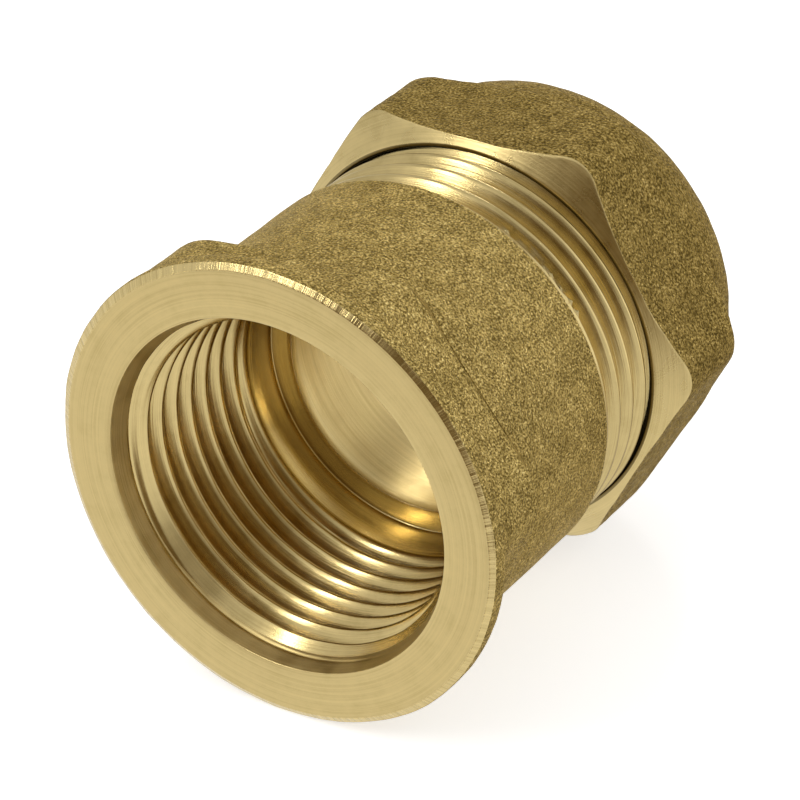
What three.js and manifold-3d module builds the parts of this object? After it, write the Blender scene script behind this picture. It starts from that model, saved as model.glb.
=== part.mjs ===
// Brass union fitting: a 22 mm compression end joined to a G 3/4 female threaded end.
//
// Millimetres, +Z up. The fitting lies on its side with its axis along +Y. The threaded socket
// opens towards -Y and the pipe enters the compression end from +Y. The origin is under the middle
// of the fitting, on the plane it rests on. Sizes along the axis are counted from the flat face
// of the threaded end, and moved to the shared frame by the group at the end of the file.

import * as THREE from 'three';
import { ConvexGeometry } from 'three/addons/geometries/ConvexGeometry.js';
import { mergeVertices } from 'three/addons/utils/BufferGeometryUtils.js';
import Module from 'manifold-3d';

const wasm = await Module();
wasm.setup();

// ---- driving dimensions ----

const THREAD_PITCH = 1.814;        // 14 threads to the inch, on both threads
const THREAD_FLANK = 27.5;         // degrees, half the 55 degree thread angle
const THREAD_TIP_HALF = 0.17;      // half the width of a thread's flat tip
const THREAD_BURIAL = 0.15;        // how far a thread's root is sunk past the surface it joins
const RUN_OUT_START = 0.1;         // share of a thread's depth left where its run-out ends
const STEPS_PER_TURN = 32;         // facets in one turn of every round surface
const CORNER_STEPS = 5;            // facets in one rounded corner of a hexagon
const DOME_STEPS = 8;              // facets from front to back of the nut's dome
const TURN = 2 * Math.PI;

const FITTING_LENGTH = 40.0;       // threaded end face to the nut's rear face, hand tight

// threaded socket, G 3/4
const SOCKET_MAJOR_R = 13.22;      // root of the socket thread
const SOCKET_MINOR_R = 12.08;      // crest of the socket thread, and the bore behind it
const SOCKET_MOUTH_R = 13.47;      // where the lead-in meets the face
const SOCKET_LEAD_IN_R = 13.0;     // where the lead-in meets the countersink behind it
const SOCKET_LEAD_IN = 1.6;        // the lead-in's depth
const SOCKET_FULL_CREST = 2.8;     // where the countersink ends and the crests are whole
const SOCKET_THREAD_END = 15.3;
const SOCKET_DEPTH = 17.9;
const SOCKET_CREST_AT = 7.82;      // a crest's place along the axis at SOCKET_CREST_TURN
const SOCKET_CREST_TURN = 227.5;   // degrees round the axis

// pipe socket, for 22 mm pipe
const STOP_R = 10.3;               // opening through the stop lip
const STOP_THICKNESS = 0.8;
const PIPE_SOCKET_R = 11.1;
const SEAT_R = 13.0;               // mouth of the cone that the olive seats in
const SEAT_SLOPE = 0.577;          // radius lost per mm of depth, a 30 degree seat

// outside of the body
const FACE_R = 16.94;
const FACE_CHAMFER = 0.36;
const BEAD_R = 17.48;
const BEAD_BACK = 1.5;
const COLLAR_FLATS = 31.5;         // across the flats of the spanner collar
const COLLAR_CORNER_R = 5.2;
const COLLAR_BACK = 5.13;          // where the collar's flats end and its taper begins
const COLLAR_TAPER = 0.71;         // what the collar's flats lose per mm of the taper
const COLLAR_TAPER_LENGTH = 3.2;
const COLLAR_TURN = 36;            // degrees from +X to the middle of a flat
const BARREL_R = 15.2;
const BARREL_END = 19.1;
const BARREL_EDGE = 0.3;

// compression thread
const MALE_MAJOR_R = 14.75;
const MALE_MINOR_R = 13.6;
const MALE_END = 34.6;
const MALE_END_CHAMFER = 0.9;
const MALE_CREST_AT = 21.2;
const MALE_CREST_TURN = 47.5;
const THREAD_CLEARANCE = 0.35;     // radial gap between the two compression threads
const FLANK_CLEARANCE = 0.05;      // extra half width of the nut's groove

// compression nut
const NUT_FRONT = 25.7;
const NUT_FLATS = 31.16;
const NUT_CORNER_R = 3.1;
const NUT_TURN = 90;               // degrees from +X to the middle of a flat
const NUT_FRONT_R = 15.07;
const NUT_FRONT_SLOPE = 0.612;     // mm along the axis per mm of radius on the front cone
const NUT_HEX_BACK = 33.8;
const NUT_REAR_R = 12.1;
const NUT_BORE_R = 11.35;
const NUT_MOUTH_DEPTH = 1.15;
const NUT_THREAD_END = 36.35;
const NUT_CONE_FRONT = 37.0;
const NUT_CONE_R = 13.4;
const NUT_CONE_SLOPE = 0.875;      // radius lost per mm on the cone behind the olive

// olive
const OLIVE_FRONT = 33.1;
const OLIVE_BACK = 38.6;
const OLIVE_END_R = 11.55;
const OLIVE_MIDDLE_R = 12.75;
const OLIVE_BORE_R = 11.1;

const AXIS_HEIGHT = BEAD_R;        // the bead is the widest round, so the fitting rests on it
const OVERSHOOT = 1;               // how far a cutting shape runs past the face that it cuts
const WELD_DISTANCE = 1e-5;        // points closer than this are one point

// ---- solids ----

function toSolid(geometry) {
  const bare = geometry.clone();
  bare.deleteAttribute('normal');
  bare.deleteAttribute('uv');
  const merged = mergeVertices(bare, WELD_DISTANCE);
  return new wasm.Manifold(new wasm.Mesh({
    numProp: 3,
    vertProperties: new Float32Array(merged.attributes.position.array),
    triVerts: new Uint32Array(merged.index.array),
  }));
}

function toGeometry(solid) {
  const mesh = solid.getMesh();
  const geometry = new THREE.BufferGeometry();
  geometry.setAttribute('position', new THREE.BufferAttribute(mesh.vertProperties, 3));
  geometry.setIndex(new THREE.BufferAttribute(mesh.triVerts, 1));
  geometry.computeVertexNormals();
  return geometry;
}

// A solid of revolution about the fitting's axis, from [radius, distance along the axis] pairs.
function turned(profile) {
  const points = profile.map(([radius, along]) => new THREE.Vector2(radius, along));
  return toSolid(new THREE.LatheGeometry(points, STEPS_PER_TURN));
}

function hexagonOutline(acrossFlats, cornerRadius, turnDegrees) {
  const outline = new THREE.Shape();
  const cornerCentre = (acrossFlats / 2 - cornerRadius) / Math.cos(Math.PI / 6);
  for (let corner = 0; corner < 6; corner += 1) {
    const angle = THREE.MathUtils.degToRad(60 * corner + 30 - turnDegrees);
    outline.absarc(
      cornerCentre * Math.cos(angle),
      cornerCentre * Math.sin(angle),
      cornerRadius,
      angle - Math.PI / 6,
      angle + Math.PI / 6,
      false,
    );
  }
  outline.closePath();
  return outline;
}

// A hexagonal bar with rounded corners along the fitting's axis.
function hexagonalBar(outline, front, back) {
  const bar = new THREE.ExtrudeGeometry(outline, {
    depth: back - front,
    bevelEnabled: false,
    curveSegments: CORNER_STEPS,
  });
  bar.rotateX(-Math.PI / 2);
  bar.translate(0, front, 0);
  return toSolid(bar);
}

// A right-handed helical bar: rootR is buried or open, tipR is the thread's tip. The bar's middle
// passes through crossing.along when it has turned crossing.degrees about +Y from +Z. Its tip
// sinks back to the root over the last half turn, where runOut is true.
function helicalBar({ rootR, tipR, tipHalf, crossing, from, to, runOut }) {
  const flank = Math.tan(THREE.MathUtils.degToRad(THREAD_FLANK));
  const rootHalf = tipHalf + Math.abs(tipR - rootR) * flank;
  const crossingTurn = crossing.degrees / 360;
  const firstStep = Math.ceil(((from - crossing.along) / THREAD_PITCH + crossingTurn) * STEPS_PER_TURN);
  const lastStep = Math.floor(((to - crossing.along) / THREAD_PITCH + crossingTurn) * STEPS_PER_TURN);
  const sectionCorners = 4;
  const positions = [];
  const triangles = [];
  for (let step = firstStep; step <= lastStep; step += 1) {
    const angle = (step / STEPS_PER_TURN) * TURN;
    const middle = crossing.along + (step / STEPS_PER_TURN - crossingTurn) * THREAD_PITCH;
    const remaining = runOut ? Math.min(1, (lastStep - step) / (STEPS_PER_TURN / 2)) : 1;
    const reachedR = rootR + (tipR - rootR) * (RUN_OUT_START + (1 - RUN_OUT_START) * remaining);
    const section = [
      [rootR, middle - rootHalf],
      [reachedR, middle - tipHalf],
      [reachedR, middle + tipHalf],
      [rootR, middle + rootHalf],
    ];
    for (const [radius, along] of section) {
      positions.push(radius * Math.sin(angle), along, radius * Math.cos(angle));
    }
  }
  const rings = lastStep - firstStep;
  const outward = tipR > rootR;
  const addTriangle = (a, b, c) => triangles.push(...(outward ? [a, b, c] : [a, c, b]));
  for (let ring = 0; ring < rings; ring += 1) {
    for (let corner = 0; corner < sectionCorners; corner += 1) {
      const here = ring * sectionCorners + corner;
      const beside = ring * sectionCorners + (corner + 1) % sectionCorners;
      addTriangle(here, here + sectionCorners, beside);
      addTriangle(beside, here + sectionCorners, beside + sectionCorners);
    }
  }
  const last = rings * sectionCorners;
  addTriangle(0, 1, 2);
  addTriangle(0, 2, 3);
  addTriangle(last, last + 2, last + 1);
  addTriangle(last, last + 3, last + 2);
  return new wasm.Manifold(new wasm.Mesh({
    numProp: 3,
    vertProperties: new Float32Array(positions),
    triVerts: new Uint32Array(triangles),
  }));
}

// ---- body ----

function bodyOutside() {
  const beadSlopeEnd = BEAD_BACK + BEAD_R - BARREL_R;
  const turnedBody = turned([
    [0, 0],
    [FACE_R, 0],
    [BEAD_R, FACE_CHAMFER],
    [BEAD_R, BEAD_BACK],
    [BARREL_R, beadSlopeEnd],
    [BARREL_R, BARREL_END - BARREL_EDGE],
    [BARREL_R - BARREL_EDGE, BARREL_END],
    [MALE_MINOR_R, BARREL_END],
    [MALE_MINOR_R, MALE_END],
    [0, MALE_END],
  ]);
  return turnedBody.add(spannerCollar()).add(maleThread());
}

// A hexagon with rounded corners that tapers into the barrel behind its flats.
function spannerCollar() {
  const stations = [
    { along: BEAD_BACK / 2, inset: 0 },
    { along: COLLAR_BACK, inset: 0 },
    { along: COLLAR_BACK + COLLAR_TAPER_LENGTH, inset: COLLAR_TAPER * COLLAR_TAPER_LENGTH },
  ];
  const points = stations.flatMap(({ along, inset }) => {
    const outline = hexagonOutline(COLLAR_FLATS - 2 * inset, COLLAR_CORNER_R - inset, COLLAR_TURN);
    return outline.getPoints(CORNER_STEPS).map(({ x, y }) => new THREE.Vector3(x, along, -y));
  });
  return toSolid(new ConvexGeometry(points));
}

function maleThread() {
  const ridge = helicalBar({
    rootR: MALE_MINOR_R - THREAD_BURIAL,
    tipR: MALE_MAJOR_R,
    tipHalf: THREAD_TIP_HALF,
    crossing: { along: MALE_CREST_AT, degrees: MALE_CREST_TURN },
    from: BARREL_END - OVERSHOOT,
    to: MALE_END + OVERSHOOT,
    runOut: false,
  });
  const envelope = turned([
    [0, BARREL_END - BARREL_EDGE],
    [MALE_MAJOR_R + OVERSHOOT, BARREL_END - BARREL_EDGE],
    [MALE_MAJOR_R + OVERSHOOT, MALE_END - MALE_END_CHAMFER - OVERSHOOT],
    [MALE_MAJOR_R - MALE_END_CHAMFER, MALE_END],
    [0, MALE_END],
  ]);
  return ridge.intersect(envelope);
}

function bodyInside() {
  const mouthSlope = (SOCKET_MOUTH_R - SOCKET_LEAD_IN_R) / SOCKET_LEAD_IN;
  const socket = turned([
    [0, -OVERSHOOT],
    [SOCKET_MOUTH_R + OVERSHOOT * mouthSlope, -OVERSHOOT],
    [SOCKET_LEAD_IN_R, SOCKET_LEAD_IN],
    [SOCKET_MINOR_R, SOCKET_FULL_CREST],
    [SOCKET_MINOR_R, SOCKET_DEPTH],
    [0, SOCKET_DEPTH],
  ]);
  const pipeSocketFront = SOCKET_DEPTH + STOP_THICKNESS;
  const seatDepth = (SEAT_R - PIPE_SOCKET_R) / SEAT_SLOPE;
  const waterway = turned([
    [0, SOCKET_DEPTH - OVERSHOOT],
    [STOP_R, SOCKET_DEPTH - OVERSHOOT],
    [STOP_R, pipeSocketFront],
    [PIPE_SOCKET_R, pipeSocketFront],
    [PIPE_SOCKET_R, MALE_END - seatDepth],
    [SEAT_R + OVERSHOOT * SEAT_SLOPE, MALE_END + OVERSHOOT],
    [0, MALE_END + OVERSHOOT],
  ]);
  return socket.add(waterway).add(socketThreadGroove());
}

function socketThreadGroove() {
  return helicalBar({
    rootR: SOCKET_MINOR_R - THREAD_BURIAL,
    tipR: SOCKET_MAJOR_R,
    tipHalf: THREAD_TIP_HALF,
    crossing: { along: SOCKET_CREST_AT + THREAD_PITCH / 2, degrees: SOCKET_CREST_TURN },
    from: -THREAD_PITCH,
    to: SOCKET_THREAD_END,
    runOut: true,
  });
}

function fittingBody() {
  return bodyOutside().subtract(bodyInside());
}

// ---- compression nut ----

function nutOutside() {
  const outline = hexagonOutline(NUT_FLATS, NUT_CORNER_R, NUT_TURN);
  const hexagon = hexagonalBar(outline, NUT_FRONT, NUT_HEX_BACK);
  const coneReach = NUT_FLATS;
  const frontCone = turned([
    [0, NUT_FRONT],
    [NUT_FRONT_R, NUT_FRONT],
    [coneReach, NUT_FRONT + (coneReach - NUT_FRONT_R) * NUT_FRONT_SLOPE],
    [coneReach, NUT_HEX_BACK + coneReach],
    [0, NUT_HEX_BACK + coneReach],
  ]);
  return hexagon.intersect(frontCone).add(nutDome());
}

// The rounded rear of the nut: a quarter ellipse from the width of the flats to the rear face.
function nutDome() {
  const profile = [[0, NUT_HEX_BACK - OVERSHOOT], [NUT_FLATS / 2, NUT_HEX_BACK - OVERSHOOT]];
  const domeLength = FITTING_LENGTH - NUT_HEX_BACK;
  for (let step = 0; step <= DOME_STEPS; step += 1) {
    const angle = (step / DOME_STEPS) * (Math.PI / 2);
    profile.push([
      NUT_REAR_R + (NUT_FLATS / 2 - NUT_REAR_R) * Math.cos(angle),
      NUT_HEX_BACK + domeLength * Math.sin(angle),
    ]);
  }
  profile.push([0, FITTING_LENGTH]);
  return turned(profile);
}

function nutInside() {
  const threadTipR = MALE_MINOR_R + THREAD_CLEARANCE;
  const coneBack = NUT_CONE_FRONT + (NUT_CONE_R - NUT_BORE_R) / NUT_CONE_SLOPE;
  const mouthSlope = (NUT_FRONT_R - threadTipR) / NUT_MOUTH_DEPTH;
  return turned([
    [0, NUT_FRONT - OVERSHOOT],
    [NUT_FRONT_R + OVERSHOOT * mouthSlope, NUT_FRONT - OVERSHOOT],
    [threadTipR, NUT_FRONT + NUT_MOUTH_DEPTH],
    [threadTipR, NUT_CONE_FRONT - (threadTipR - NUT_CONE_R)],
    [NUT_CONE_R, NUT_CONE_FRONT],
    [NUT_BORE_R, coneBack],
    [NUT_BORE_R, FITTING_LENGTH + OVERSHOOT],
    [0, FITTING_LENGTH + OVERSHOOT],
  ]);
}

function nutThreadGroove() {
  return helicalBar({
    rootR: MALE_MINOR_R + THREAD_CLEARANCE - THREAD_BURIAL,
    tipR: MALE_MAJOR_R + THREAD_CLEARANCE,
    tipHalf: THREAD_TIP_HALF + FLANK_CLEARANCE,
    crossing: { along: MALE_CREST_AT, degrees: MALE_CREST_TURN },
    from: NUT_FRONT - THREAD_PITCH,
    to: NUT_THREAD_END,
    runOut: true,
  });
}

function compressionNut() {
  return nutOutside().subtract(nutInside()).subtract(nutThreadGroove());
}

// ---- olive ----

function compressionOlive() {
  const rise = OLIVE_MIDDLE_R - OLIVE_END_R;
  return turned([
    [OLIVE_BORE_R, OLIVE_FRONT],
    [OLIVE_END_R, OLIVE_FRONT],
    [OLIVE_MIDDLE_R, OLIVE_FRONT + rise / SEAT_SLOPE],
    [OLIVE_MIDDLE_R, OLIVE_BACK - rise / NUT_CONE_SLOPE],
    [OLIVE_END_R, OLIVE_BACK],
    [OLIVE_BORE_R, OLIVE_BACK],
    [OLIVE_BORE_R, OLIVE_FRONT],
  ]);
}

// ---- the fitting ----

function brass(colour, roughness) {
  return new THREE.MeshStandardMaterial({ color: colour, roughness, metalness: 1 });
}

const fitting = new THREE.Group();

function addPiece(name, solid, material) {
  const piece = new THREE.Mesh(toGeometry(solid), material);
  piece.name = name;
  fitting.add(piece);
}

addPiece('fitting_body', fittingBody(), brass(0xbfa66a, 0.45));
addPiece('compression_nut', compressionNut(), brass(0xa8904f, 0.55));
addPiece('olive', compressionOlive(), brass(0xc9ad62, 0.3));

fitting.position.set(0, -FITTING_LENGTH / 2, AXIS_HEIGHT);

export default fitting;
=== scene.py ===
"""The looks of the union fitting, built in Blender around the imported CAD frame.

The fitting is turned work, so each piece is one closed skin: rings of points about the fitting's
axis, joined into quads. A ring's points may leave the circle, for a hexagon or a helical thread.
Lengths are in millimetres counted from the face of the threaded end, until make_skin() turns them
into the shared frame. Angles are in degrees about the axis, from +X towards +Z.
"""
import math

import bpy
import numpy as np
from mathutils import Matrix, Vector, noise


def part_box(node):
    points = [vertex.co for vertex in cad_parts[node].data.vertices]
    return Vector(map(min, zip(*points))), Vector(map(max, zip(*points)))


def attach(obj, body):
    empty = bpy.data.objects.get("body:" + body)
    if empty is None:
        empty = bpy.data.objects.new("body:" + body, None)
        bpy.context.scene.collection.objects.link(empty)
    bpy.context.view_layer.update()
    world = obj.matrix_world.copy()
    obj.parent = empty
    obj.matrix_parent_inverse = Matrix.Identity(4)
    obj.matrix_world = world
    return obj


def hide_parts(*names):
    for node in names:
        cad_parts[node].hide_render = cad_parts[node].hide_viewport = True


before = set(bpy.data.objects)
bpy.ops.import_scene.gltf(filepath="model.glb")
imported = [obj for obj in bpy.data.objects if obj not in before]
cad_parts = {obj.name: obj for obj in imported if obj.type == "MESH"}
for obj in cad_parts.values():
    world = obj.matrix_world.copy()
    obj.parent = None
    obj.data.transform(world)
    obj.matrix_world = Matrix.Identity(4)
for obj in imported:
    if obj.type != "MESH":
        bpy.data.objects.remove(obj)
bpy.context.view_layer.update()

# ---- sizes, the CAD's except for the collar's back and the nut's mouth ----

MM = 0.001
COLUMNS = 240
THREAD_PITCH = 1.814
THREAD_FLANK = 27.5
THREAD_TIP_HALF = 0.17

FITTING_LENGTH = 40.0

SOCKET_MAJOR_R = 13.22
SOCKET_MINOR_R = 12.08
SOCKET_MOUTH_R = 13.47
SOCKET_LEAD_IN_R = 13.0
SOCKET_LEAD_IN = 1.6
SOCKET_FULL_CREST = 2.8
SOCKET_THREAD_END = 15.3
SOCKET_DEPTH = 17.9
SOCKET_CREST_AT = 7.82
SOCKET_CREST_TURN = 227.5

STOP_R = 10.3
STOP_THICKNESS = 0.8
PIPE_SOCKET_R = 11.1
SEAT_R = 13.0
SEAT_SLOPE = 0.577

FACE_R = 16.94
FACE_CHAMFER = 0.36
BEAD_R = 17.48
BEAD_BACK = 1.5
BEAD_ROUNDING = 0.1
COLLAR_FLATS = 31.5
COLLAR_CORNER_R = 5.2
COLLAR_BACK = 5.85
COLLAR_TAPER = 0.88
COLLAR_TURN = 36
COLLAR_END = 8.6
CREASE_WIDTH = 0.12
BARREL_R = 15.2
BARREL_END = 19.1
BARREL_EDGE = 0.3

MALE_MAJOR_R = 14.75
MALE_MINOR_R = 13.6
MALE_END = 34.6
MALE_END_CHAMFER = 0.9
MALE_CREST_AT = 21.2
MALE_CREST_TURN = 47.5
MALE_THREAD_FRONT = BARREL_END + 0.1
MALE_CUT_IN = 1.2
THREAD_CLEARANCE = 0.35

NUT_FRONT = 25.7
NUT_FLATS = 31.16
NUT_CORNER_R = 3.1
NUT_TURN = 90
NUT_FRONT_R = 15.07
NUT_FRONT_SLOPE = 0.612
NUT_HEX_BACK = 33.8
NUT_CORNER_BACK = 34.8
NUT_CORNER_SLOPE = 1.9
NUT_CORNER_ROUNDING = 0.4
NUT_REAR_R = 12.1
NUT_BORE_R = 11.35
NUT_MOUTH_R = 14.85
NUT_MOUTH_DEPTH = 1.15
NUT_THREAD_LEAD_IN = 0.25
NUT_THREAD_END = 36.35
NUT_CONE_FRONT = 37.0
NUT_CONE_R = 13.4
NUT_CONE_SLOPE = 0.875

OLIVE_FRONT = 33.1
OLIVE_BACK = 38.6
OLIVE_END_R = 11.55
OLIVE_MIDDLE_R = 12.75
OLIVE_BORE_R = 11.1

# From here on the nut hides the outside thread when it is tight.
HIDDEN_THREAD_FRONT = NUT_FRONT + 1

# The distances between rings along the threads.
SOCKET_THREAD_SPACING = 0.095
MALE_THREAD_SPACING = 0.12
HIDDEN_THREAD_SPACING = 0.2

# Where the thread tool tore the metal as it started its cut.
TORN_FRONT = 19.6
TORN_BACK = 20.6
TORN_FROM = 31
TORN_TO = 64

# Before the body's rings are moved to follow the collar's creases, they are here.
FRONT_CREASE_RING = 2.6
BACK_CREASE_RING = 7.0

# The forgings' outsides are a little off the axis that their threads are cut on.
BODY_RUNOUT = (0.15, 200)
BODY_RUNOUT_END = 10
NUT_RUNOUT = (0.15, 165)

body_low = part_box("fitting_body")[0]
olive_low, olive_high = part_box("olive")
FACE_Y = body_low[1]
AXIS_Z = (olive_low[2] + olive_high[2]) / 2

COLUMN_DEGREES = np.arange(COLUMNS) * 360 / COLUMNS


# ---- curves ----

def soft_max(a, b, rounding):
    """The larger of a and b, with a round join about as wide as rounding."""
    return 0.5 * (a + b + np.sqrt((a - b) ** 2 + rounding ** 2))


def soft_min(a, b, rounding):
    return -soft_max(-a, -b, rounding)


def hexagon_radius(degrees, across_flats, corner_r, turn):
    """How far a hexagon with round corners reaches from the axis. turn is where a flat faces."""
    flat = across_flats / 2
    off_flat = np.radians(np.abs((degrees - turn + 30) % 60 - 30))
    off_corner = math.pi / 6 - off_flat
    centre = (flat - corner_r) / math.cos(math.pi / 6)
    on_flat = flat * np.tan(off_flat) <= centre * math.sin(math.pi / 6)
    inside = np.maximum(corner_r ** 2 - (centre * np.sin(off_corner)) ** 2, 0)
    corner = centre * np.cos(off_corner) + np.sqrt(inside)
    return np.where(on_flat, flat / np.cos(off_flat), corner)


def off_centre(degrees, runout):
    """What a shift by runout, as (distance, direction), adds to a round shape's radius."""
    distance, direction = runout
    return distance * np.cos(np.radians(degrees - direction))


def thread_depth(along, degrees, depth, crest_at, crest_turn, crest_curve, root_round):
    """How deep a right-handed thread's groove is below its crest. The flanks start the groove
    in a curve about crest_curve deep."""
    turned = 90 - degrees - crest_turn
    phase = (along - crest_at) / THREAD_PITCH - turned / 360
    from_crest = np.abs(phase - np.round(phase)) * THREAD_PITCH
    slope = 1 / math.tan(math.radians(THREAD_FLANK))
    fall = soft_max((from_crest - THREAD_TIP_HALF) * slope, 0, crest_curve)
    crest = soft_max(-THREAD_TIP_HALF * slope, 0, crest_curve)
    return soft_min(fall - crest, depth, root_round)


def fade(value, start, end):
    """0 at start, 1 at end, with a smooth change between them."""
    share = np.clip((value - start) / (end - start), 0, 1)
    return share * share * (3 - 2 * share)


# ---- skins ----

def ring_path(corners):
    """Rings round a closed outline. Each corner is (along, radius, fillet, spacing, zone), where
    spacing and zone describe the stretch from that corner to the next. Gives the rings'
    along, radius and zone."""
    FILLET_RINGS = 3
    count = len(corners)
    points = [np.array(corner[:2], float) for corner in corners]
    rings = []
    for here in range(count):
        before, after = points[here - 1], points[(here + 1) % count]
        corner = points[here]
        fillet, spacing, zone = corners[here][2:]
        next_fillet = corners[(here + 1) % count][2]
        back = (before - corner) / np.linalg.norm(before - corner)
        ahead = (after - corner) / np.linalg.norm(after - corner)
        for share in np.linspace(0, 1, FILLET_RINGS) if fillet else [1]:
            curve = back * (1 - share) ** 2 + ahead * share ** 2
            rings.append((*(corner + curve * fillet), zone))
        start = corner + ahead * fillet
        end = after - ahead * next_fillet
        steps = max(1, round(np.linalg.norm(end - start) / spacing))
        for step in range(1, steps):
            rings.append((*(start + (end - start) * step / steps), zone))
    along, radius, zones = zip(*rings)
    return np.array(along), np.array(radius), list(zones)


def roughen(along, radius, degrees, where, size, amount, seed):
    """Moves the rings' points in or out by smooth noise, size mm across, where where is true."""
    rows, columns = np.nonzero(where)
    angle = np.radians(degrees)
    offset = Vector((seed, seed * 2, seed * 3))
    for row, column in zip(rows, columns):
        r = radius[row, column]
        place = Vector((
            r * math.cos(angle[row, column]),
            along[row, column],
            r * math.sin(angle[row, column]),
        ))
        radius[row, column] += amount * noise.noise(place / size + offset)


def make_skin(name, along, radius, ring_zones, materials):
    """A closed skin from grids of along and radius, one row for each ring."""
    rows = along.shape[0]
    angle = np.radians(COLUMN_DEGREES)[None, :]
    x = radius * np.cos(angle) * MM
    y = along * MM + FACE_Y
    z = radius * np.sin(angle) * MM + AXIS_Z
    points = np.stack([x, y, z], axis=-1).reshape(-1, 3)

    row = np.arange(rows)[:, None]
    column = np.arange(COLUMNS)[None, :]
    next_row = (row + 1) % rows
    next_column = (column + 1) % COLUMNS
    quads = np.stack([
        row * COLUMNS + column,
        row * COLUMNS + next_column,
        next_row * COLUMNS + next_column,
        next_row * COLUMNS + column,
    ], axis=-1).reshape(-1, 4)

    mesh = bpy.data.meshes.new(name)
    mesh.from_pydata(points.tolist(), [], quads.tolist())
    names = list(materials)
    for zone in names:
        mesh.materials.append(materials[zone])
    zone_of_ring = np.array([names.index(zone) for zone in ring_zones])
    mesh.polygons.foreach_set("material_index", np.repeat(zone_of_ring, COLUMNS))
    mesh.shade_smooth()
    mesh.update()
    piece = bpy.data.objects.new(name, mesh)
    bpy.context.scene.collection.objects.link(piece)
    return piece


# ---- body ----

def body_rings():
    pipe_socket_front = SOCKET_DEPTH + STOP_THICKNESS
    seat_front = MALE_END - (SEAT_R - PIPE_SOCKET_R) / SEAT_SLOPE
    return ring_path([
        (0, SOCKET_MOUTH_R, 0.04, 0.6, "faced"),
        (0, FACE_R, 0.04, 0.1, "chamfer"),
        (FACE_CHAMFER, BEAD_R, 0.05, 0.25, "blasted"),
        (BEAD_BACK, BEAD_R, 0, 0.25, "blasted"),
        (FRONT_CREASE_RING, BARREL_R, 0.06, 0.25, "blasted"),
        (COLLAR_BACK, BARREL_R, 0.06, 0.22, "blasted"),
        # painted shade: the ring in the collar's back crease gets darker blasted brass, standing
        # in for the shade in the crease
        (BACK_CREASE_RING, BARREL_R, 0, 0.1, "crease"),
        (BACK_CREASE_RING + CREASE_WIDTH, BARREL_R, 0, 0.3, "blasted"),
        (COLLAR_END, BARREL_R, 0, 0.8, "blasted"),
        (BARREL_END - BARREL_EDGE, BARREL_R, 0.05, 0.1, "edge"),
        (BARREL_END, BARREL_R - BARREL_EDGE, 0.05, 0.1, "threaded"),
        (MALE_THREAD_FRONT, MALE_MAJOR_R, 0, MALE_THREAD_SPACING, "threaded"),
        (HIDDEN_THREAD_FRONT, MALE_MAJOR_R, 0, HIDDEN_THREAD_SPACING, "threaded"),
        (MALE_END - MALE_END_CHAMFER, MALE_MAJOR_R, 0, 0.15, "threaded"),
        (MALE_END, MALE_MAJOR_R - MALE_END_CHAMFER, 0.05, 0.2, "faced"),
        (MALE_END, SEAT_R, 0.04, 0.4, "reamed"),
        (seat_front, PIPE_SOCKET_R, 0.1, 1.5, "reamed"),
        (pipe_socket_front, PIPE_SOCKET_R, 0.1, 0.2, "reamed"),
        (pipe_socket_front, STOP_R, 0.05, 0.3, "reamed"),
        (SOCKET_DEPTH, STOP_R, 0.06, 0.5, "bored"),
        (SOCKET_DEPTH, SOCKET_MINOR_R, 0.15, 0.3, "bored"),
        (SOCKET_THREAD_END, SOCKET_MINOR_R, 0, SOCKET_THREAD_SPACING, "bored"),
        (SOCKET_FULL_CREST, SOCKET_MINOR_R, 0, SOCKET_THREAD_SPACING, "bored"),
        (SOCKET_LEAD_IN, SOCKET_LEAD_IN_R, 0.05, SOCKET_THREAD_SPACING, "lead_in"),
    ])


def collar_hexagon(degrees):
    return hexagon_radius(degrees, COLLAR_FLATS, COLLAR_CORNER_R, COLLAR_TURN)


def follow_creases(along):
    """Moves the rings so that one of them lies in each of the collar's creases."""
    hexagon = collar_hexagon(COLUMN_DEGREES)
    front = BEAD_BACK + BEAD_R - hexagon
    back = COLLAR_BACK + (hexagon - BARREL_R) / COLLAR_TAPER
    even = [0, BEAD_BACK, FRONT_CREASE_RING, COLLAR_BACK, BACK_CREASE_RING, COLLAR_END, BARREL_END]
    moved = np.empty_like(along)
    for column in range(COLUMNS):
        uneven = [0, BEAD_BACK, front[column], COLLAR_BACK, back[column], COLLAR_END, BARREL_END]
        moved[:, column] = np.interp(along[:, column], even, uneven)
    return moved


def collar_radius(along, degrees):
    """The cone behind the bead, the spanner collar, its taper and the barrel."""
    cone = soft_min(BEAD_R, BEAD_R + BEAD_BACK - along, BEAD_ROUNDING)
    taper = collar_hexagon(degrees) - COLLAR_TAPER * np.maximum(along - COLLAR_BACK, 0)
    return np.maximum(np.maximum(cone, taper), BARREL_R)


def forge_body(along, radius, degrees, zone):
    """Gives the forged outside its collar, and shifts it off the axis by BODY_RUNOUT."""
    blasted = (zone == "blasted") | (zone == "crease")
    along = np.where(blasted, follow_creases(along), along)
    behind_bead = blasted & (along >= BEAD_BACK) & (along < COLLAR_END)
    radius = np.where(behind_bead, collar_radius(along, degrees), radius)

    forged = blasted | (zone == "chamfer")
    runout = off_centre(degrees, BODY_RUNOUT) * (1 - fade(along, COLLAR_BACK, BODY_RUNOUT_END))
    reach = np.where(zone == "chamfer", along / FACE_CHAMFER, 1)
    radius = np.where(forged, radius + runout * reach, radius)

    near_face = forged & (along < BEAD_BACK)
    chamfer_slope = FACE_CHAMFER / (BEAD_R - FACE_R)
    shift = runout * chamfer_slope * reach * (1 - fade(along, FACE_CHAMFER, BEAD_BACK))
    return np.where(near_face, along + shift, along), radius


def cut_male_thread(along, radius, degrees, zone):
    groove = thread_depth(
        along, degrees, MALE_MAJOR_R - MALE_MINOR_R, MALE_CREST_AT, MALE_CREST_TURN,
        crest_curve=0.25, root_round=0.3)
    cut_in = fade(along, BARREL_END, BARREL_END + MALE_CUT_IN)
    threaded = np.minimum(radius, MALE_MAJOR_R - groove * cut_in)
    return np.where(zone == "threaded", threaded, radius)


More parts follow.
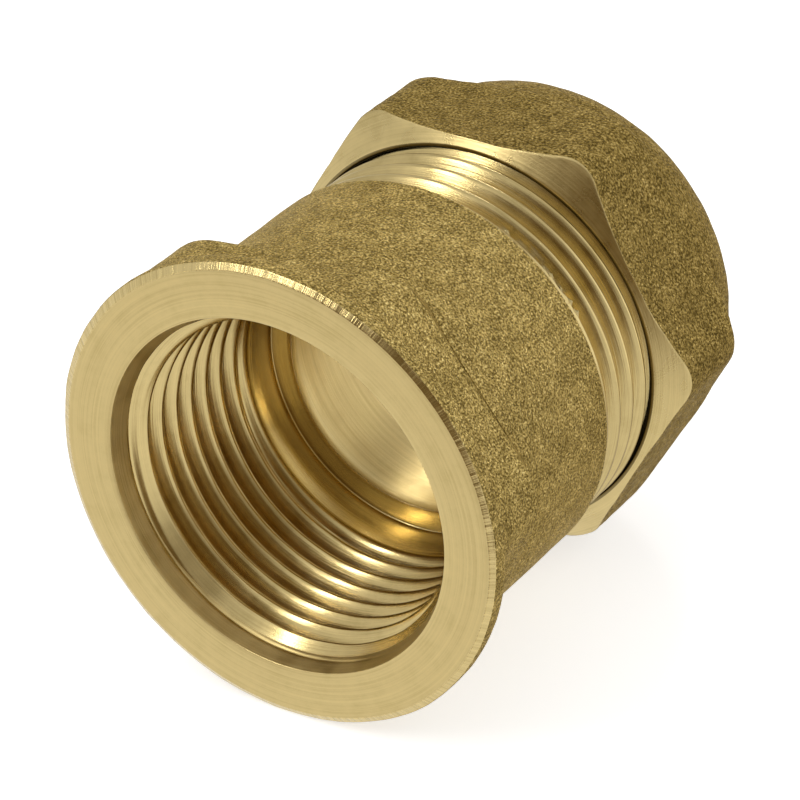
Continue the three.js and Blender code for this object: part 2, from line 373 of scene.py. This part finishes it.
def cut_socket_thread(along, radius, degrees, zone):
    groove = thread_depth(
        along, degrees, SOCKET_MAJOR_R - SOCKET_MINOR_R, SOCKET_CREST_AT, SOCKET_CREST_TURN,
        crest_curve=0.5, root_round=0.15)
    cut_out = 1 - fade(along, SOCKET_THREAD_END - THREAD_PITCH, SOCKET_THREAD_END)
    threaded = np.maximum(radius, SOCKET_MINOR_R + groove * cut_out)
    in_socket = ((zone == "bored") & (along < SOCKET_THREAD_END)) | (zone == "lead_in")
    return np.where(in_socket, threaded, radius)


def torn_metal(along, degrees, zone):
    torn_rings = (zone == "threaded") & (along > TORN_FRONT) & (along < TORN_BACK)
    return torn_rings & (degrees > TORN_FROM) & (degrees < TORN_TO)


def fitting_body(materials):
    ring_along, ring_radius, zones = body_rings()
    zone = np.repeat(np.array(zones)[:, None], COLUMNS, axis=1)
    along = np.repeat(ring_along[:, None], COLUMNS, axis=1)
    radius = np.repeat(ring_radius[:, None], COLUMNS, axis=1)
    degrees = np.repeat(COLUMN_DEGREES[None, :], len(zones), axis=0)

    along, radius = forge_body(along, radius, degrees, zone)
    radius = cut_male_thread(along, radius, degrees, zone)
    radius = cut_socket_thread(along, radius, degrees, zone)

    blasted = (zone == "blasted") | (zone == "crease")
    torn = torn_metal(along, degrees, zone)
    roughen(along, radius, degrees, torn, size=0.35, amount=0.6, seed=5)
    roughen(along, radius, degrees, blasted, size=3.0, amount=0.05, seed=1)
    roughen(along, radius, degrees, blasted, size=0.9, amount=0.02, seed=2)
    return make_skin("fitting_body_skin", along, radius, zones, materials)


# ---- compression nut ----

def nut_outline(degrees):
    """The nut's outside, ring by ring from its front edge to its rear face."""
    CONE_RINGS, HEXAGON_RINGS, DOME_RINGS = 14, 44, 40
    runout = off_centre(degrees, NUT_RUNOUT)
    hexagon = hexagon_radius(degrees, NUT_FLATS, NUT_CORNER_R, NUT_TURN) + runout
    cone_end = NUT_FRONT + (hexagon - NUT_FRONT_R) * NUT_FRONT_SLOPE
    rings = []
    for step in range(CONE_RINGS):
        share = step / CONE_RINGS
        along = NUT_FRONT + (cone_end - NUT_FRONT) * share
        rings.append((along, NUT_FRONT_R + (hexagon - NUT_FRONT_R) * share, "faced"))
    flat_r = NUT_FLATS / 2
    for step in range(HEXAGON_RINGS):
        along = cone_end + (NUT_HEX_BACK - cone_end) * step / HEXAGON_RINGS
        rings.append((along, nut_back_radius(along, hexagon, flat_r + runout), "blasted"))
    for step in range(DOME_RINGS + 1):
        angle = step / DOME_RINGS * math.pi / 2
        back = NUT_HEX_BACK + (FITTING_LENGTH - NUT_HEX_BACK) * math.sin(angle)
        along = np.full_like(hexagon, back)
        dome = NUT_REAR_R + (flat_r - NUT_REAR_R) * math.cos(angle) + runout
        rings.append((along, nut_back_radius(along, hexagon, dome), "blasted"))
    return rings


def nut_back_radius(along, hexagon, dome):
    """The hexagon, whose corners slope down into the dome."""
    NEAR_DOME = 1
    DOME_ROUNDING = 0.12
    DOME_RELIEF = 0.02
    slope = NUT_FLATS / 2 + (NUT_CORNER_BACK - along) * NUT_CORNER_SLOPE
    corners = soft_min(hexagon, slope, NUT_CORNER_ROUNDING)
    joined = soft_max(dome, corners, DOME_ROUNDING) - DOME_RELIEF
    return np.where(corners > dome - NEAR_DOME, joined, dome)


def nut_bore(degrees):
    """The nut's inside, ring by ring from its rear face to its front edge. The outline's points
    are (along, radius, rings up to the next point, zone)."""
    tip_r = MALE_MINOR_R + THREAD_CLEARANCE
    root_r = MALE_MAJOR_R + THREAD_CLEARANCE
    cone_back = NUT_CONE_FRONT + (NUT_CONE_R - NUT_BORE_R) / NUT_CONE_SLOPE
    outline = [
        (FITTING_LENGTH, NUT_BORE_R, 4, "faced"),
        (cone_back, NUT_BORE_R, 6, "faced"),
        (NUT_CONE_FRONT, NUT_CONE_R, 4, "threaded"),
        (NUT_CONE_FRONT - (tip_r - NUT_CONE_R), tip_r, 8, "threaded"),
        (NUT_THREAD_END, tip_r, 80, "threaded"),
        # painted shade: the countersink inside the nut's mouth is near-black, standing in for the
        # shade in the gap round the outside thread
        (NUT_FRONT + NUT_MOUTH_DEPTH, tip_r, 12, "painted_gap_shade"),
        # painted shade: the flat ring of the nut's mouth is dark, standing in for the dark inside
        # of the nut that it would reflect
        (NUT_FRONT, NUT_MOUTH_R, 3, "mouth"),
        (NUT_FRONT, NUT_FRONT_R, 0, "mouth"),
    ]
    rings = []
    for start, end in zip(outline, outline[1:]):
        steps, zone = start[2:]
        for step in range(steps):
            share = step / steps
            along = np.full_like(degrees, start[0] + (end[0] - start[0]) * share)
            radius = np.full_like(degrees, start[1] + (end[1] - start[1]) * share)
            threaded = np.maximum(radius, nut_thread_radius(along, degrees, tip_r, root_r))
            cut = (along > NUT_FRONT) & (along < NUT_THREAD_END)
            rings.append((along, np.where(cut, threaded, radius), zone))
    return rings


def nut_thread_radius(along, degrees, tip_r, root_r):
    depth = root_r - tip_r
    groove = thread_depth(
        along, degrees, depth, MALE_CREST_AT, MALE_CREST_TURN, crest_curve=0.1, root_round=0.1)
    cut_in = fade(along, NUT_FRONT, NUT_FRONT + NUT_THREAD_LEAD_IN)
    cut_out = 1 - fade(along, NUT_THREAD_END - THREAD_PITCH / 2, NUT_THREAD_END)
    return root_r - groove - (1 - cut_in * cut_out) * depth


def compression_nut(materials):
    rings = nut_outline(COLUMN_DEGREES) + nut_bore(COLUMN_DEGREES)
    along = np.array([ring[0] for ring in rings])
    radius = np.array([ring[1] for ring in rings])
    zones = [ring[2] for ring in rings]
    degrees = np.repeat(COLUMN_DEGREES[None, :], len(zones), axis=0)
    blasted = np.repeat((np.array(zones) == "blasted")[:, None], COLUMNS, axis=1)
    roughen(along, radius, degrees, blasted, size=2.5, amount=0.06, seed=3)
    roughen(along, radius, degrees, blasted, size=0.8, amount=0.03, seed=4)
    return make_skin("compression_nut_skin", along, radius, zones, materials)


# ---- olive ----

def olive(materials):
    rise = OLIVE_MIDDLE_R - OLIVE_END_R
    ring_along, ring_radius, zones = ring_path([
        (OLIVE_FRONT, OLIVE_BORE_R, 0.05, 0.2, "turned"),
        (OLIVE_FRONT, OLIVE_END_R, 0.1, 0.2, "turned"),
        (OLIVE_FRONT + rise / SEAT_SLOPE, OLIVE_MIDDLE_R, 0.5, 0.2, "turned"),
        (OLIVE_BACK - rise / NUT_CONE_SLOPE, OLIVE_MIDDLE_R, 0.5, 0.2, "turned"),
        (OLIVE_BACK, OLIVE_END_R, 0.1, 0.2, "turned"),
        (OLIVE_BACK, OLIVE_BORE_R, 0.05, 0.5, "turned"),
    ])
    along = np.repeat(ring_along[:, None], COLUMNS, axis=1)
    radius = np.repeat(ring_radius[:, None], COLUMNS, axis=1)
    return make_skin("olive_skin", along, radius, zones, materials)


# ---- brass ----

class Nodes:
    """Short names for building one material's nodes."""

    def __init__(self, name):
        self.material = bpy.data.materials.new(name)
        self.material.use_nodes = True
        self.tree = self.material.node_tree
        self.shader = self.tree.nodes["Principled BSDF"]

    def plug(self, socket, value):
        if isinstance(value, bpy.types.NodeSocket):
            self.tree.links.new(value, socket)
        elif value is not None:
            socket.default_value = value

    def math(self, operation, a, b=None):
        node = self.tree.nodes.new("ShaderNodeMath")
        node.operation = operation
        self.plug(node.inputs[0], a)
        self.plug(node.inputs[1], b)
        return node.outputs[0]

    def join(self, x, y, z):
        node = self.tree.nodes.new("ShaderNodeCombineXYZ")
        for socket, value in zip(node.inputs, (x, y, z)):
            self.plug(socket, value)
        return node.outputs[0]

    def noise(self, place, scale, detail=2.0, roughness=0.5, w=None):
        node = self.tree.nodes.new("ShaderNodeTexNoise")
        if w is not None:
            node.noise_dimensions = "4D"
            self.plug(node.inputs["W"], w)
        self.plug(node.inputs["Vector"], place)
        node.inputs["Scale"].default_value = scale
        node.inputs["Detail"].default_value = detail
        node.inputs["Roughness"].default_value = roughness
        return node.outputs["Fac"]

    def ramp(self, value, stops):
        """Colour or grey by value. stops are (position, linear colour)."""
        node = self.tree.nodes.new("ShaderNodeValToRGB")
        elements = node.color_ramp.elements
        while len(elements) < len(stops):
            elements.new(0.5)
        for element, (position, colour) in zip(elements, stops):
            element.position = position
            element.color = (*colour, 1)
        self.plug(node.inputs["Fac"], value)
        return node.outputs["Color"]

    def span(self, value, low, high, to_low, to_high):
        node = self.tree.nodes.new("ShaderNodeMapRange")
        for key, number in (("From Min", low), ("From Max", high),
                            ("To Min", to_low), ("To Max", to_high)):
            node.inputs[key].default_value = number
        self.plug(node.inputs["Value"], value)
        return node.outputs["Result"]

    def bump(self, height, distance, strength=1.0, normal=None):
        node = self.tree.nodes.new("ShaderNodeBump")
        node.inputs["Strength"].default_value = strength
        node.inputs["Distance"].default_value = distance
        self.plug(node.inputs["Height"], height)
        self.plug(node.inputs["Normal"], normal)
        return node.outputs["Normal"]

    def cylindrical(self):
        """The surface point, its distance from the fitting's axis and its direction round it."""
        place = self.tree.nodes.new("ShaderNodeTexCoord").outputs["Object"]
        split = self.tree.nodes.new("ShaderNodeSeparateXYZ")
        self.plug(split.inputs[0], place)
        x, y = split.outputs[0], split.outputs[1]
        z = self.math("SUBTRACT", split.outputs[2], AXIS_Z)
        squares = self.math("ADD", self.math("MULTIPLY", x, x), self.math("MULTIPLY", z, z))
        radius = self.math("SQRT", squares)
        across = self.math("DIVIDE", x, radius)
        up = self.math("DIVIDE", z, radius)
        angle = self.math("ARCTAN2", z, x)
        return place, y, radius, across, up, angle


# Linear colours, and noise scales in cells per metre.
BRASS_MID = (0.55, 0.42, 0.17)
BRASS_LIGHT = (0.68, 0.53, 0.235)
BLASTED_DARK = (0.17, 0.115, 0.030)
BLASTED_MID = (0.42, 0.305, 0.098)
BLASTED_LIGHT = (0.70, 0.52, 0.185)
BLASTED_FLECK = (0.98, 0.78, 0.36)
BLASTED_EDGE = (0.92, 0.80, 0.58, 1)
MOTTLE_SCALE = 700
BLOTCH_SCALE = 450
GRIT_SCALE = 9000
WOBBLE_SCALE = 300


def shade(colour, factor):
    return tuple(channel * factor for channel in colour)


def tinted(colour, tint):
    """A colour with each of its channels scaled by the tint's."""
    return tuple(channel * share for channel, share in zip(colour, tint))


def finish_brass(nodes, colour, roughness, normal):
    nodes.shader.inputs["Metallic"].default_value = 1.0
    nodes.plug(nodes.shader.inputs["Base Color"], colour)
    nodes.plug(nodes.shader.inputs["Roughness"], roughness)
    nodes.plug(nodes.shader.inputs["Normal"], normal)
    return nodes.material


def blasted_brass(name, tint, grain_mm, relief):
    """Grit-blasted forging skin: a fine grain of pits and facets over soft mottling."""
    GRAIN_SHARE = 0.8
    MOTTLE_SHARE = 0.2
    nodes = Nodes(name)
    place = nodes.cylindrical()[0]
    grain = nodes.noise(place, 1 / (grain_mm * MM), 3.0, 0.6)
    specks = nodes.noise(place, 0.6 / (grain_mm * MM), 1.0)
    mottle = nodes.noise(place, MOTTLE_SCALE, 4.0, 0.6)
    tarnish = nodes.math("ADD", nodes.math("MULTIPLY", grain, GRAIN_SHARE),
                         nodes.math("MULTIPLY", mottle, MOTTLE_SHARE))
    colour = nodes.ramp(tarnish, [
        (0.41, tinted(BLASTED_DARK, tint)),
        (0.50, tinted(BLASTED_MID, tint)),
        (0.59, tinted(BLASTED_LIGHT, tint)),
        (0.65, tinted(BLASTED_FLECK, tint)),
    ])
    roughness = nodes.span(specks, 0.35, 0.65, 0.34, 0.54)
    fine = nodes.bump(grain, relief * MM)
    normal = nodes.bump(specks, relief * MM, 0.8, fine)
    nodes.shader.inputs["Specular Tint"].default_value = BLASTED_EDGE
    return finish_brass(nodes, colour, roughness, normal)


def turned_brass(name, tone, roughness, ring_mm, ring_relief, rough_relief=0.0):
    """Lathe-cut brass: fine grooves round the axis, ring_mm apart, and faint blotches."""
    ROUND_SCALE = 0.9
    RING_SHARE = 0.5
    BLOTCH_SHARE = 0.5
    ring_scale = 1 / (ring_mm * MM)
    nodes = Nodes(name)
    place, along, radius, across, up, _ = nodes.cylindrical()
    around = nodes.join(nodes.math("MULTIPLY", across, ROUND_SCALE),
                        nodes.math("MULTIPLY", up, ROUND_SCALE),
                        nodes.math("MULTIPLY", along, ring_scale))
    rings = nodes.noise(around, 1.0, 2.0, 0.6, nodes.math("MULTIPLY", radius, ring_scale))
    blotches = nodes.noise(place, BLOTCH_SCALE, 4.0, 0.6)
    grit = nodes.noise(place, GRIT_SCALE, 2.0)
    tint = nodes.math("ADD", nodes.math("MULTIPLY", rings, RING_SHARE),
                      nodes.math("MULTIPLY", blotches, BLOTCH_SHARE))
    colour = nodes.ramp(tint, [
        (0.32, shade(BRASS_MID, tone)),
        (0.50, shade(BRASS_LIGHT, tone)),
        (0.68, shade(BRASS_LIGHT, tone * 1.12)),
    ])
    rough = nodes.span(blotches, 0.3, 0.7, roughness * 0.85, roughness * 1.2)
    ringed = nodes.bump(rings, ring_relief * MM)
    normal = nodes.bump(grit, rough_relief * MM, 1.0, ringed) if rough_relief else ringed
    return finish_brass(nodes, colour, rough, normal)


def chamfer_brass(name):
    """The chamfer round the face, with the chatter marks of its tool."""
    CHATTER_WAVES = 40.0
    CHATTER_WOBBLE = 14.0
    CHATTER_SHARE = 0.15
    MARK_SCALE = 60.0
    RELIEF = 0.06
    nodes = Nodes(name)
    place, _, _, across, up, angle = nodes.cylindrical()
    wobble = nodes.noise(place, WOBBLE_SCALE, 2.0)
    turns = nodes.math("ADD", nodes.math("MULTIPLY", angle, CHATTER_WAVES),
                       nodes.math("MULTIPLY", wobble, CHATTER_WOBBLE))
    chatter = nodes.math("SINE", turns)
    across_marks = nodes.join(nodes.math("MULTIPLY", across, MARK_SCALE),
                              nodes.math("MULTIPLY", up, MARK_SCALE), 0.0)
    marks = nodes.noise(across_marks, 1.0, 3.0, 0.7)
    colour = nodes.ramp(marks, [
        (0.3, BRASS_MID),
        (0.5, BRASS_LIGHT),
        (0.7, shade(BRASS_LIGHT, 1.15)),
    ])
    height = nodes.math("ADD", nodes.math("MULTIPLY", chatter, CHATTER_SHARE), marks)
    return finish_brass(nodes, colour, roughness=0.26, normal=nodes.bump(height, RELIEF * MM))


# ---- the fitting ----

threaded = turned_brass("brass_threaded", tone=0.88, roughness=0.22, ring_mm=0.10,
                        ring_relief=0.014, rough_relief=0.003)

body_piece = fitting_body({
    "faced": turned_brass("brass_faced", tone=1.01, roughness=0.34, ring_mm=0.12,
                          ring_relief=0.014, rough_relief=0.012),
    "chamfer": chamfer_brass("brass_chamfer"),
    "blasted": blasted_brass("brass_blasted_body", tint=(1.10, 1.10, 1.08),
                             grain_mm=0.15, relief=0.60),
    # painted shade: darker blasted brass for the collar's back crease, standing in for the shade
    # in the crease
    "crease": blasted_brass("brass_crease_painted_shade", tint=(0.50, 0.46, 0.36),
                            grain_mm=0.15, relief=0.30),
    "edge": turned_brass("brass_edge", tone=1.08, roughness=0.24, ring_mm=0.10,
                         ring_relief=0.010),
    "threaded": threaded,
    "reamed": turned_brass("brass_reamed", tone=0.92, roughness=0.40, ring_mm=0.30,
                           ring_relief=0.014, rough_relief=0.004),
    "bored": turned_brass("brass_bored", tone=0.98, roughness=0.22, ring_mm=0.12,
                          ring_relief=0.010, rough_relief=0.003),
    "lead_in": turned_brass("brass_lead_in", tone=1.0, roughness=0.42, ring_mm=0.12,
                            ring_relief=0.014, rough_relief=0.004),
})
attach(body_piece, "body")
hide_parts("fitting_body")

nut_piece = compression_nut({
    "faced": turned_brass("brass_nut_faced", tone=0.94, roughness=0.28, ring_mm=0.12,
                          ring_relief=0.014, rough_relief=0.008),
    "blasted": blasted_brass("brass_blasted_nut", tint=(0.72, 0.69, 0.60),
                             grain_mm=0.18, relief=0.60),
    "threaded": threaded,
    # painted shade: near-black brass for the countersink in the nut's mouth, standing in for the
    # shade in the gap round the outside thread
    "painted_gap_shade": turned_brass("brass_painted_gap_shade", tone=0.03, roughness=0.60, ring_mm=0.10,
                           ring_relief=0.012),
    # painted shade: dark brass for the flat ring of the nut's mouth, standing in for a reflection
    # of the dark inside of the nut
    "mouth": turned_brass("brass_mouth_painted_shade", tone=0.36, roughness=0.30, ring_mm=0.10,
                          ring_relief=0.012),
})
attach(nut_piece, "nut")
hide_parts("compression_nut")

olive_piece = olive({
    "turned": turned_brass("brass_turned", tone=1.05, roughness=0.25, ring_mm=0.20,
                           ring_relief=0.010),
})
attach(olive_piece, "olive")
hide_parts("olive")


# ---- floor, light and camera ----

def make_floor():
    HALF = 1.5
    mesh = bpy.data.meshes.new("floor")
    mesh.from_pydata(
        [(-HALF, -HALF, 0), (HALF, -HALF, 0), (HALF, HALF, 0), (-HALF, HALF, 0)],
        [], [(0, 1, 2, 3)])
    nodes = Nodes("floor_white")
    nodes.shader.inputs["Base Color"].default_value = (0.80, 0.80, 0.80, 1)
    nodes.shader.inputs["Roughness"].default_value = 0.9
    nodes.shader.inputs["Specular IOR Level"].default_value = 0.1
    nodes.shader.inputs["Emission Color"].default_value = (1.0, 1.0, 1.0, 1)
    nodes.shader.inputs["Emission Strength"].default_value = 0.62
    mesh.materials.append(nodes.material)
    floor = bpy.data.objects.new("floor", mesh)
    bpy.context.scene.collection.objects.link(floor)
    floor.visible_glossy = False


def softbox(name, direction, width, length, lengthways, power):
    """An area light that faces the fitting from a direction, its length turned lengthways."""
    DISTANCE = 0.45
    light = bpy.data.lights.new(name, "AREA")
    light.shape = "RECTANGLE"
    light.size = width
    light.size_y = length
    light.energy = power
    lamp = bpy.data.objects.new(name, light)
    back = Vector(direction).normalized()
    across = Vector(lengthways).cross(back).normalized()
    turn = Matrix((across, back.cross(across), back)).transposed()
    place = Vector((0, 0, AXIS_Z)) + back * DISTANCE
    lamp.matrix_world = Matrix.Translation(place) @ turn.to_4x4()
    bpy.context.scene.collection.objects.link(lamp)


def make_world():
    """A white room that is softer overhead than round the floor, with a window to the right.
    Two dark brown cards stand in front of the fitting and near the camera, and the floor beyond
    the nut is in shade."""
    CARD_BROWN = (0.19, 0.125, 0.045, 1)
    world = bpy.data.worlds.new("studio")
    world.use_nodes = True
    tree = world.node_tree
    background = tree.nodes["Background"]
    direction = tree.nodes.new("ShaderNodeTexCoord").outputs["Generated"]

    def level(towards, low, high, at_low, at_high):
        """A level that goes from at_low to at_high as the direction turns towards a given one,
        and their dot product goes from low to high."""
        dot = tree.nodes.new("ShaderNodeVectorMath")
        dot.operation = "DOT_PRODUCT"
        dot.inputs[1].default_value = Vector(towards).normalized()
        tree.links.new(direction, dot.inputs[0])
        span = tree.nodes.new("ShaderNodeMapRange")
        span.interpolation_type = "SMOOTHSTEP"
        for key, number in (("From Min", low), ("From Max", high),
                            ("To Min", at_low), ("To Max", at_high)):
            span.inputs[key].default_value = number
        tree.links.new(dot.outputs["Value"], span.inputs["Value"])
        return span.outputs["Result"]

    def combine(operation, a, b):
        node = tree.nodes.new("ShaderNodeMath")
        node.operation = operation
        tree.links.new(a, node.inputs[0])
        tree.links.new(b, node.inputs[1])
        return node.outputs["Value"]

    front_card = level((0.10, -0.985, 0.05), low=0.76, high=0.90, at_low=0.0, at_high=1.0)
    near_card = level((0.50, -0.70, 0.52), low=0.86, high=0.94, at_low=0.0, at_high=0.6)
    floor_shade = level((0.29, 0.70, -0.66), low=0.75, high=0.97, at_low=0.0, at_high=0.5)
    cards = combine("MAXIMUM", front_card, near_card)
    tint = tree.nodes.new("ShaderNodeValToRGB")
    tint.color_ramp.elements[0].color = (1.0, 1.0, 1.0, 1)
    tint.color_ramp.elements[1].color = CARD_BROWN
    tree.links.new(combine("MAXIMUM", cards, floor_shade), tint.inputs["Fac"])
    tree.links.new(tint.outputs["Color"], background.inputs["Color"])

    room = level((0, 0, -1), low=-0.35, high=0.3, at_low=0.70, at_high=0.98)
    window = level((0.75, 0.62, 0.20), low=0.70, high=0.97, at_low=0.0, at_high=0.60)
    tree.links.new(combine("ADD", room, window), background.inputs["Strength"])
    bpy.context.scene.world = world


def make_camera():
    """The camera stands at PLACE and its picture's sides point along RIGHT and UP."""
    PLACE = (0.130713, -0.203924, 0.154664)
    RIGHT = (0.84792, 0.52884, -0.03672)
    UP = (-0.23733, 0.44071, 0.86572)
    SENSOR_WIDTH = 36
    LENS = 176.46
    camera = bpy.data.cameras.new("camera")
    camera.sensor_width = SENSOR_WIDTH
    camera.lens = LENS
    camera.clip_start = 0.01
    right = Vector(RIGHT).normalized()
    up = Vector(UP).normalized()
    back = right.cross(up)
    holder = bpy.data.objects.new("camera", camera)
    turn = Matrix((right, up, back)).transposed()
    holder.matrix_world = Matrix.Translation(PLACE) @ turn.to_4x4()
    bpy.context.scene.collection.objects.link(holder)
    bpy.context.scene.camera = holder


make_floor()
softbox("front_strip", direction=(-0.40, -0.56, 0.72), width=0.05, length=0.30,
        lengthways=(0, 1, 0.6), power=0.50)
softbox("top_box", direction=(-0.24, 0.767, 0.626), width=0.06, length=0.06,
        lengthways=(0, 1, 0), power=0.22)
make_world()
make_camera()
bpy.context.scene.view_settings.view_transform = "Standard"
